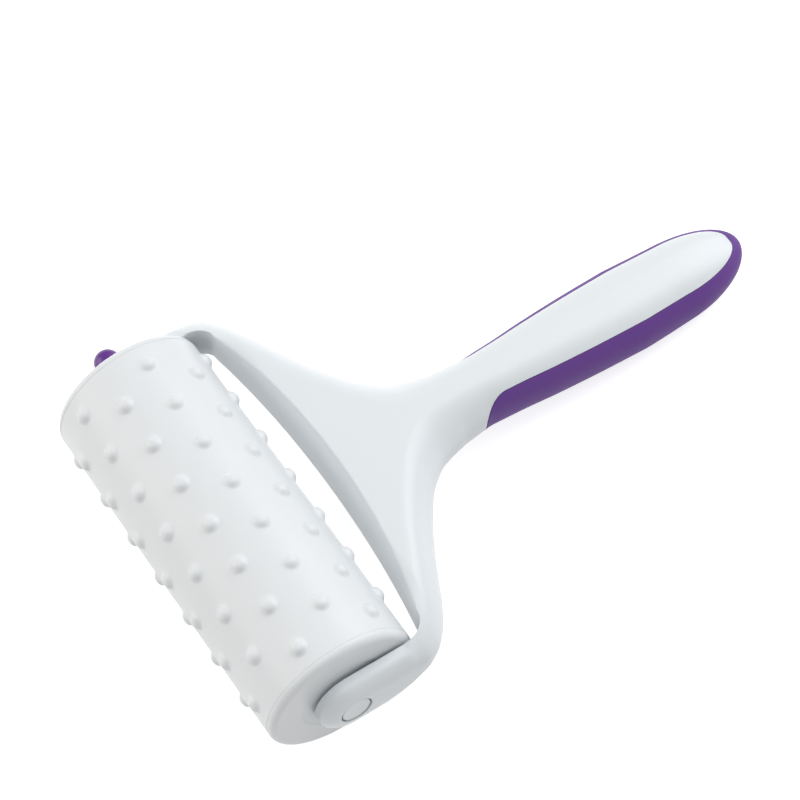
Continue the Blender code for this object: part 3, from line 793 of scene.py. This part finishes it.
def window_outline(share, grow):
    """Half of the window's outline: along the bowed front, round the corner and down the arm."""
    reach = WINDOW_REACH + WINDOW_LEAN * share + grow
    bow = WINDOW_BOW + (WINDOW_TOP_BOW - WINDOW_BOW) * share
    side = inner_face + grow
    chord = side - WINDOW_CORNER
    radius = (chord * chord + bow * bow) / (2 * bow)
    swing = math.asin(chord / radius)
    edge = [(radius * math.sin(a), reach - radius + radius * math.cos(a))
            for a in spread(0, swing, FRONT_STEPS)]
    centre_y = edge[-1][1] - WINDOW_CORNER * math.cos(swing)
    corner = [(chord + WINDOW_CORNER * math.sin(a), centre_y + WINDOW_CORNER * math.cos(a))
              for a in spread(swing, math.pi / 2, CORNER_STEPS)]
    arm = [(side, y) for y in spread(centre_y, 0, SIDE_STEPS)]
    return edge + corner[1:-1] + arm


def window_ring(sign, lift, grow, curve=0):
    """The window's outline below the top (sign 1) or above the underside (sign -1), grown outwards and
    part of the way down the front's curve."""
    ring = []
    for x, y in window_outline((1 - curve) ** 2 if sign > 0 else 0, grow):
        surface = top_height(y) if sign > 0 else underside_height(y)
        middle = max(1 - (x / (inner_face - WINDOW_CORNER)) ** 2, 0)
        depth = lift + FRONT_CURVE * curve * (CORNER_SHARE + (1 - CORNER_SHARE) * middle)
        ring.append((x, y, surface - sign * depth))
    height = ring[-1][2]
    ring += [(inner_face, 0, height), (inner_face, -ARM_END_RADIUS - OVERRUN, height)]
    return ring + [(-x, y, z) for x, y, z in reversed(ring[1:])]


print("window's front at the top, mm from the axle:", round(window_outline(1, 0)[0][1] / MM, 1))

# %% The window's block
EDGE_ROUND = 0.6 * MM
EDGE_SWEEP = math.radians(78)
EDGE_STEPS = 5
CURVE_STEPS = 9


def edge_rounding():
    """How far below the surface and how far into the wall the rounded edge runs, then its flare."""
    angles = spread(0, EDGE_SWEEP, EDGE_STEPS)
    rows = [(EDGE_ROUND * (1 - math.sin(a)), EDGE_ROUND * (1 - math.cos(a))) for a in angles]
    lift, grow = rows[-1]
    return rows + [(lift - EDGE_ROUND * math.cos(EDGE_SWEEP), grow + EDGE_ROUND * math.sin(EDGE_SWEEP))]


def window_block():
    rows = edge_rounding()
    rings = [window_ring(-1, *row) for row in reversed(rows)]
    rings += [window_ring(1, *rows[0], curve) for curve in spread(1, 0, CURVE_STEPS)]
    rings += [window_ring(1, *row) for row in rows[1:]]
    floor_ring = [(x, y, -ARM_END_RADIUS - OVERRUN) for x, y, z in rings[0]]
    roof_ring = [(x, y, TOP_HEIGHT + OVERRUN) for x, y, z in rings[-1]]
    return loft("window", [floor_ring] + rings + [roof_ring])


print("rounded edge takes", round(edge_rounding()[0][0] / MM, 2), "mm of the surface")

# %% [markdown]
# ## The arms' round ends
#
# The block stays level beyond the axle, so it can't round the inner edge of the arms' round ends. Half a
# ring with the same rounding does that. It laps a little past the place where the block's edge stops:
# faces of two cutters that only just meet can leave a hairline open.

# %% The half ring
END_LAP = math.radians(2)
END_STEPS = 53


def arm_end_edge(side):
    """Half a ring that rounds the inner edge of an arm's round end."""
    rows = [(inner_face + grow, ARM_END_RADIUS - lift) for lift, grow in edge_rounding()]
    beyond = ARM_END_RADIUS + OVERRUN
    inside = inner_face - OVERRUN
    outline = [(inside, rows[0][1])] + rows + [(rows[-1][0], beyond), (inside, beyond)]
    turns = spread(-END_LAP, math.pi + END_LAP, END_STEPS)
    return loft("arm_end_edge", [
        [(side * x, -radius * math.sin(a), radius * math.cos(a)) for x, radius in outline] for a in turns])


print("half ring laps by", round(ARM_END_RADIUS * math.sin(END_LAP) / MM, 2), "mm")

# %% [markdown]
# ## What the arms carry
#
# Inside, both arms have a flat round pad that the roller's caps run against. The plain arm's pad has a
# stub that fits into the near cap. Outside, the plain arm shows a round disc in a narrow ring groove, and
# the far arm has the hole for the button. All of these are turned, then joined or cut one by one.

# %% Stub, pad, disc and the button's hole
PAD_RADIUS = 7.0 * MM
PAD_HEIGHT = 0.4 * MM
STUB_RADIUS = 4.0 * MM
STUB_LENGTH = 7.5 * MM
RECESS_RADIUS = 4.8 * MM
RECESS_DEPTH = 1.8 * MM
DISC_GAP = 0.6 * MM
DISC_SETBACK = 0.3 * MM
BUTTON_RADIUS = 3.9 * MM
FINE = 96
pin_bore = BUTTON_RADIUS + FIT_GAP


def arm_fittings(yoke):
    seat = ARM_THICKNESS / 2
    pad = [(0, seat), (PAD_RADIUS, seat), (PAD_RADIUS, -PAD_HEIGHT)]
    stub_end = -PAD_HEIGHT - STUB_LENGTH
    stub = pad + [(STUB_RADIUS, -PAD_HEIGHT), (STUB_RADIUS, stub_end), (0, stub_end)]
    combine(yoke, "UNION", turned("stub", stub, FINE, inner_face, 1))
    combine(yoke, "UNION", turned("pad", pad + [(0, -PAD_HEIGHT)], FINE, -inner_face, -1))
    recess = [(0, OVERRUN), (RECESS_RADIUS, OVERRUN), (RECESS_RADIUS, -RECESS_DEPTH)]
    disc = RECESS_RADIUS - DISC_GAP
    groove = recess + [(disc, -RECESS_DEPTH), (disc, -DISC_SETBACK), (0, -DISC_SETBACK)]
    through = ARM_THICKNESS + PAD_HEIGHT + OVERRUN
    hole = recess + [(pin_bore, -RECESS_DEPTH), (pin_bore, -through), (0, -through)]
    combine(yoke, "DIFFERENCE", turned("groove", groove, FINE, outer_face, 1))
    combine(yoke, "DIFFERENCE", turned("hole", hole, FINE, -outer_face, -1))


print("bore for the button's pin, mm:", round(2 * pin_bore / MM, 1))

# %% The frame
yoke = moulding("frame_moulding")
combine(yoke, "DIFFERENCE", window_block())
for side in (1, -1):
    combine(yoke, "DIFFERENCE", arm_end_edge(side))
zone = combine(grip_zone("zone", 0), "DIFFERENCE", grip_core("core", GRIP_WALL))
combine(yoke, "DIFFERENCE", zone)
arm_fittings(yoke)
dress(yoke, frame_white, "frame", "yoke_handle")

# %% [markdown]
# ## The soft grip
#
# The grip is moulded over the frame's core and fills the zone that was left for it. It could be the very
# shape that was cut from the frame. It is cut a hairline smaller all round instead, so that the line
# between purple and white reads as a real joint.

# %% The grip
soft_grip = moulding("grip_overmould")
combine(soft_grip, "INTERSECT", grip_zone("zone", FIT_GAP))
combine(soft_grip, "DIFFERENCE", grip_core("core", GRIP_WALL - FIT_GAP))
dress(soft_grip, soft_purple, "frame", "soft_grip")

# %% [markdown]
# ## The studs
#
# The studs stand in twelve lines round the sleeve, each line set off by half a pitch from the next. They
# are part of the sleeve, so they flow into it through a small fillet. Domes joined to a cylinder would
# leave a hard crease there. So a stud is a height that depends on the distance from its centre: a dome
# near the centre, and a smooth run-out from where the fillet starts.

# %% Height of a stud
STUD_MARGIN = 6.0 * MM
STUD_LINES = 12
STUDS_PER_LINE = 7
STUD_HEIGHT = 1.42 * MM
STUD_BASE_RADIUS = 2.4 * MM
STUD_SKIRT = 3.1 * MM
STUD_POWER = 2.8
FILLET_SHARE = 0.18
stud_pitch = (SLEEVE_LENGTH - 2 * STUD_MARGIN) / (STUDS_PER_LINE - 1 / 2)


def stud_height(distance):
    """Height of a stud's surface at a distance from its centre: a dome that runs out in a fillet."""
    blend_at = STUD_BASE_RADIUS * (1 - FILLET_SHARE)
    if distance <= blend_at:
        return STUD_HEIGHT * (1 - (distance / STUD_BASE_RADIUS) ** STUD_POWER)
    edge = STUD_HEIGHT * (1 - (1 - FILLET_SHARE) ** STUD_POWER)
    slope = -STUD_HEIGHT * STUD_POWER * (1 - FILLET_SHARE) ** (STUD_POWER - 1) / STUD_BASE_RADIUS
    span = STUD_SKIRT - blend_at
    s = min((distance - blend_at) / span, 1)
    return edge * (1 + 2 * s) * (1 - s) ** 2 + span * slope * s * (1 - s) ** 2


print("stud pitch, mm:", round(stud_pitch / MM, 2))
print("stud height at its rim, mm:", round(stud_height(STUD_BASE_RADIUS) / MM, 2))

# %% [markdown]
# ## The sleeve's skin, tile by tile
#
# An even grid over the whole sleeve would need very many faces to draw the small studs round. Instead the
# skin is laid out in tiles, one for each stud: rings round the stud near its centre, widening to the
# tile's straight edges. Places on the skin are written as x and an arc length round the roller, as if the
# sleeve were unrolled. Every point is then lifted by the stud's height and wrapped round the roller.

# %% The layout of the tiles
STUD_RINGS = 12
TILE_RINGS = 3
TILE_STEPS_ALONG = 8
TILE_STEPS_ROUND = 8


def places_along():
    """Every place along the sleeve where tiles may meet, so that neighbouring lines share their points."""
    half = SLEEVE_LENGTH / 2
    half_step = stud_pitch / TILE_STEPS_ALONG / 2
    most = math.ceil(half / half_step - 1 / 2) - 1
    return [-half] + [i * half_step for i in range(-most, most + 1, 2)] + [half]


def tile_rim(along, arcs, low, high):
    """The tile's straight edges all the way round, as places (x, arc)."""
    xs = [place for place in along if low <= place <= high]
    rim = [(x, arcs[0]) for x in xs] + [(high, arc) for arc in arcs[1:]]
    return rim + [(x, arcs[-1]) for x in reversed(xs[:-1])] + [(low, arc) for arc in reversed(arcs[1:-1])]


def tile_rings(centre, centre_arc, rim):
    """Rings of points (x, arc, height) round a stud, from near its top out to the tile's rim."""
    ways = [Vector((x - centre, arc - centre_arc)) for x, arc in rim]
    rings = []
    for ring in range(1, STUD_RINGS + 1):
        distance = STUD_SKIRT * ring / STUD_RINGS
        rings.append([(way.normalized() * distance, stud_height(distance)) for way in ways])
    for ring in range(1, TILE_RINGS):
        rings.append([((way.normalized() * STUD_SKIRT).lerp(way, ring / TILE_RINGS), 0.0) for way in ways])
    rings.append([(way, 0.0) for way in ways])
    return [[(centre + way.x, centre_arc + way.y, height) for way, height in ring] for ring in rings]


print("places along the sleeve:", len(places_along()))

# %% The skin's points and faces
def sleeve_point(x, arc, height):
    angle = arc / ROLLER_RADIUS
    radius = ROLLER_RADIUS + height
    return (x, radius * math.sin(angle), -radius * math.cos(angle))


class Skin:
    """The sleeve's skin. Where two tiles meet, they share their points."""

    def __init__(self):
        self.shape = bmesh.new()
        self.made = {}

    def vert(self, x, arc, height):
        """The vertex at a place. It is made once, and found again by its rounded place."""
        turn = 2 * math.pi * ROLLER_RADIUS
        key = (round(x / MM, 4), round((arc % turn) / MM, 3) % round(turn / MM, 3), round(height / MM, 4))
        if key not in self.made:
            self.made[key] = self.shape.verts.new(sleeve_point(x, arc, height))
        return self.made[key]

    def add_tile(self, centre, centre_arc, rim):
        """One stud and the skin round it."""
        rows = [[self.vert(*point) for point in ring] for ring in tile_rings(centre, centre_arc, rim)]
        top = self.shape.verts.new(sleeve_point(centre, centre_arc, STUD_HEIGHT))
        sides = [(i, (i + 1) % len(rim)) for i in range(len(rim))]
        for i, j in sides:
            self.shape.faces.new((top, rows[0][i], rows[0][j]))
        for row, after in zip(rows, rows[1:]):
            for i, j in sides:
                self.shape.faces.new((row[i], after[i], after[j], row[j]))

    def add_bore(self):
        """The bore and both flat ends, from the skin's two open rims inwards."""
        shape = self.shape
        rims = [edge for edge in shape.edges if edge.is_boundary]
        inwards = sleeve_bore / ROLLER_RADIUS
        bore = {}
        for edge in rims:
            for v in edge.verts:
                if v not in bore:
                    bore[v] = shape.verts.new((v.co.x, v.co.y * inwards, v.co.z * inwards))
        for edge in rims:
            a, b = edge.verts
            shape.faces.new((a, b, bore[b], bore[a]))
        by_angle = {}
        for inner in bore.values():
            angle = round(math.atan2(inner.co.y, inner.co.z), 4)
            by_angle.setdefault(angle, {})[inner.co.x > 0] = inner
        ordered = [by_angle[angle] for angle in sorted(by_angle)]
        for first, second in zip(ordered, ordered[1:] + ordered[:1]):
            shape.faces.new((first[False], first[True], second[True], second[False]))


# %% [markdown]
# ## The studded sleeve
#
# The sleeve is a tube that is held by the two caps. Line by line, the tiles' edges are moved to the nearest
# place where tiles may meet. The lines start from the tilt, so that the tool lies on two of them. The
# bore isn't seen, but with it the sleeve is a closed body with a real wall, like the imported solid.

# %% The sleeve
def studded_sleeve():
    half = SLEEVE_LENGTH / 2
    along = places_along()
    line_arc = 2 * math.pi * ROLLER_RADIUS / STUD_LINES
    skin = Skin()
    for line in range(STUD_LINES):
        centre_arc = tilt * ROLLER_RADIUS + (line + 1 / 2) * line_arc
        arcs = spread(centre_arc - line_arc / 2, centre_arc + line_arc / 2, TILE_STEPS_ROUND + 1)
        shift = -stud_pitch / 4 if line % 2 else stud_pitch / 4
        centres = [shift + (place - (STUDS_PER_LINE - 1) / 2) * stud_pitch for place in range(STUDS_PER_LINE)]
        edges = [-half] + [(a + b) / 2 for a, b in zip(centres, centres[1:])] + [half]
        edges = [min(along, key=lambda place: abs(place - edge)) for edge in edges]
        for centre, low, high in zip(centres, edges, edges[1:]):
            skin.add_tile(centre, centre_arc, tile_rim(along, arcs, low, high))
    skin.add_bore()
    bmesh.ops.recalc_face_normals(skin.shape, faces=skin.shape.faces)
    print("sleeve's open edges:", sum(1 for edge in skin.shape.edges if not edge.is_manifold))
    return shape_piece("studded_sleeve", skin.shape)


sleeve = studded_sleeve()
dress(sleeve, roller_white, "roller", "roller_sleeve")

# %% [markdown]
# ## The end caps
#
# Each end of the sleeve is closed by a turned cap with a softly rounded rim, a shallow dish in its face
# and a spigot that fits into the sleeve. Where cap and sleeve meet, a fine groove shows as the joint line.
# It could be painted on, but a line that is cut in stays right from every side. One profile serves as the
# outer side of both caps, so they match.

# %% The outer side of both caps
CAP_RIM_RADIUS = 2.1 * MM
CAP_RIM_STEPS = 13
JOINT_DEPTH = 0.10 * MM
JOINT_WIDTH = 0.26 * MM
CAP_DISH_RADIUS = 12.5 * MM
CAP_DISH_DEPTH = 0.8 * MM
DISH_SHOWN = 0.2 * MM
DISH_STEPS = 7
CAP_SPIGOT_LENGTH = 6.0 * MM
CAP_SPIGOT_WALL = 1.8 * MM
web_depth = CAP_DISH_DEPTH + CAP_FLANGE


def cap_side():
    """The cap's outer side: dish, face, rounded rim, flange and spigot."""
    centre = ROLLER_RADIUS - CAP_RIM_RADIUS
    dish = [(CAP_DISH_RADIUS + CAP_DISH_DEPTH * s, DISH_SHOWN * (s * s * (3 - 2 * s) - 1))
            for s in spread(0, 1, DISH_STEPS)]
    arc = [(centre + CAP_RIM_RADIUS * math.sin(a), CAP_RIM_RADIUS * (math.cos(a) - 1))
           for a in spread(0, math.pi / 2, CAP_RIM_STEPS)]
    joint = CAP_FLANGE + FIT_GAP
    groove = ROLLER_RADIUS - JOINT_DEPTH
    spigot = sleeve_bore - FIT_GAP
    deep = -CAP_FLANGE - CAP_SPIGOT_LENGTH
    return dish + arc + [
        (ROLLER_RADIUS, JOINT_WIDTH - joint), (groove, JOINT_WIDTH - joint), (groove, -joint),
        (spigot, -joint), (spigot, deep), (spigot - CAP_SPIGOT_WALL, deep),
        (spigot - CAP_SPIGOT_WALL, -web_depth),
    ]


print("caps' face from", round(CAP_DISH_RADIUS / MM, 1), "to", round(ROLLER_RADIUS / MM, 1), "mm")

# %% [markdown]
# ## Near cap and far cap
#
# The near cap has a blind socket that turns on the arm's stub. The far cap has a hole for the button's
# pin, with a guide tube behind it for the spring. Their sizes follow from the stub and from the button, so
# that the clearance is the same everywhere.

# %% The near cap
SOCKET_WALL = 2.0 * MM

socket_bore = STUB_RADIUS + FIT_GAP
socket_depth = STUB_LENGTH - (END_PLAY - PAD_HEIGHT) + FIT_GAP
boss = socket_bore + SOCKET_WALL
plain = [(0, -socket_depth), (socket_bore, -socket_depth), (socket_bore, -DISH_SHOWN)] + cap_side()
plain += [(boss, -web_depth), (boss, -socket_depth - SOCKET_WALL), (0, -socket_depth - SOCKET_WALL)]
near_cap = turned("near_cap", plain, 2 * FINE, half_roller, 1)
dress(near_cap, roller_white, "roller", "plain_end_cap")

# %% The far cap
GUIDE_WALL = 1.6 * MM
BUTTON_FLANGE_RADIUS = 6.2 * MM
BUTTON_FLANGE = 1.8 * MM
SPRING_LENGTH = 25.0 * MM
PLUG_SPIGOT = 2.0 * MM

guide_bore = BUTTON_FLANGE_RADIUS + FIT_GAP
guide_length = FIT_GAP + BUTTON_FLANGE + SPRING_LENGTH + 2 * FIT_GAP + PLUG_SPIGOT
guide_end = -web_depth - guide_length
tube = guide_bore + GUIDE_WALL
guided = [(pin_bore, -DISH_SHOWN)] + cap_side()
guided += [(tube, -web_depth), (tube, guide_end), (guide_bore, guide_end)]
guided += [(guide_bore, -web_depth), (pin_bore, -web_depth)]
far_cap = turned("far_cap", guided, 2 * FINE, -half_roller, -1, closed=True)
dress(far_cap, roller_white, "roller", "button_end_cap")

# %% [markdown]
# ## The release button
#
# The button and the pin that carries the roller are one moulding with a domed head, a flange that stops
# it behind the cap, and a post that centres the spring. A cylinder with a half ball on it would show a
# seam in the gloss. Turned from one profile, the dome runs into the pin without one.

# %% The button
BUTTON_STANDOUT = 8.0 * MM
BUTTON_DOME = 3.9 * MM
DOME_STEPS = 17
SPRING_POST_RADIUS = 3.0 * MM
SPRING_POST_LENGTH = 3.0 * MM

head = outer_face + BUTTON_STANDOUT
collar = half_roller - web_depth - FIT_GAP
back = collar - BUTTON_FLANGE
post_end = back - SPRING_POST_LENGTH
pin = [(BUTTON_RADIUS * math.sin(a), head - BUTTON_DOME * (1 - math.cos(a)))
       for a in spread(0, math.pi / 2, DOME_STEPS)]
pin += [(BUTTON_RADIUS, collar), (BUTTON_FLANGE_RADIUS, collar), (BUTTON_FLANGE_RADIUS, back)]
pin += [(SPRING_POST_RADIUS, back), (SPRING_POST_RADIUS, post_end), (0, post_end)]
button = turned("push_button", pin, FINE, 0, -1)
dress(button, button_purple, "button", "release_button")

# %% [markdown]
# ## The spring and its plug
#
# Both are inside the roller. The spring is one wire wound in a helix: a curve with a round bevel, turned
# into a mesh whose end discs are merged with the wire. It shortens as the button is pressed, towards the
# plug that backs it. Moving it along would push it through the plug, so it would have to be squashed. Here
# the button's travel is only read from its joint, and the spring keeps its length. The plug keeps its
# imported solid and only gets a finish.

# %% The wire
SPRING_TURNS = 9
SPRING_RADIUS = 4.4 * MM
WIRE_RADIUS = 0.4 * MM
POINTS_PER_TURN = 24

start = -(back - FIT_GAP) + WIRE_RADIUS
stop = start + SPRING_LENGTH - 2 * WIRE_RADIUS
count = SPRING_TURNS * POINTS_PER_TURN + 1
curve = bpy.data.curves.new("wire", "CURVE")
curve.dimensions = "3D"
curve.bevel_depth = WIRE_RADIUS
curve.bevel_resolution = 2
curve.use_fill_caps = True
spline = curve.splines.new("POLY")
spline.points.add(count - 1)
for i, point in enumerate(spline.points):
    angle = 2 * math.pi * i / POINTS_PER_TURN
    x = start + (stop - start) * i / (count - 1)
    point.co = (x, SPRING_RADIUS * math.cos(angle), SPRING_RADIUS * math.sin(angle), 1)
print("wire from", round(start / MM, 1), "to", round(stop / MM, 1), "mm")

# %% The spring
wire = new_piece("wire", curve)
bpy.context.view_layer.update()
wire_mesh = bpy.data.meshes.new_from_object(wire.evaluated_get(bpy.context.evaluated_depsgraph_get()))
bpy.data.objects.remove(wire)
coil = bmesh.new()
coil.from_mesh(wire_mesh)
bmesh.ops.remove_doubles(coil, verts=coil.verts, dist=MERGE_DISTANCE)
spring = shape_piece("wound_spring", coil)
dress(spring, spring_steel, "roller", "release_spring")
travel = press["range_m"][1]
spring_end = tool_axes @ Vector((stop + WIRE_RADIUS, 0, 0))
1 - travel / SPRING_LENGTH
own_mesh(spring)
print("spring shortens by", round(travel / MM, 1), "mm")

# %% The plug
plug = frame["nodes"]["spring_plug"]
plug.data.materials.clear()
plug.data.materials.append(roller_white)
print("plug finish:", plug.data.materials[0].name)
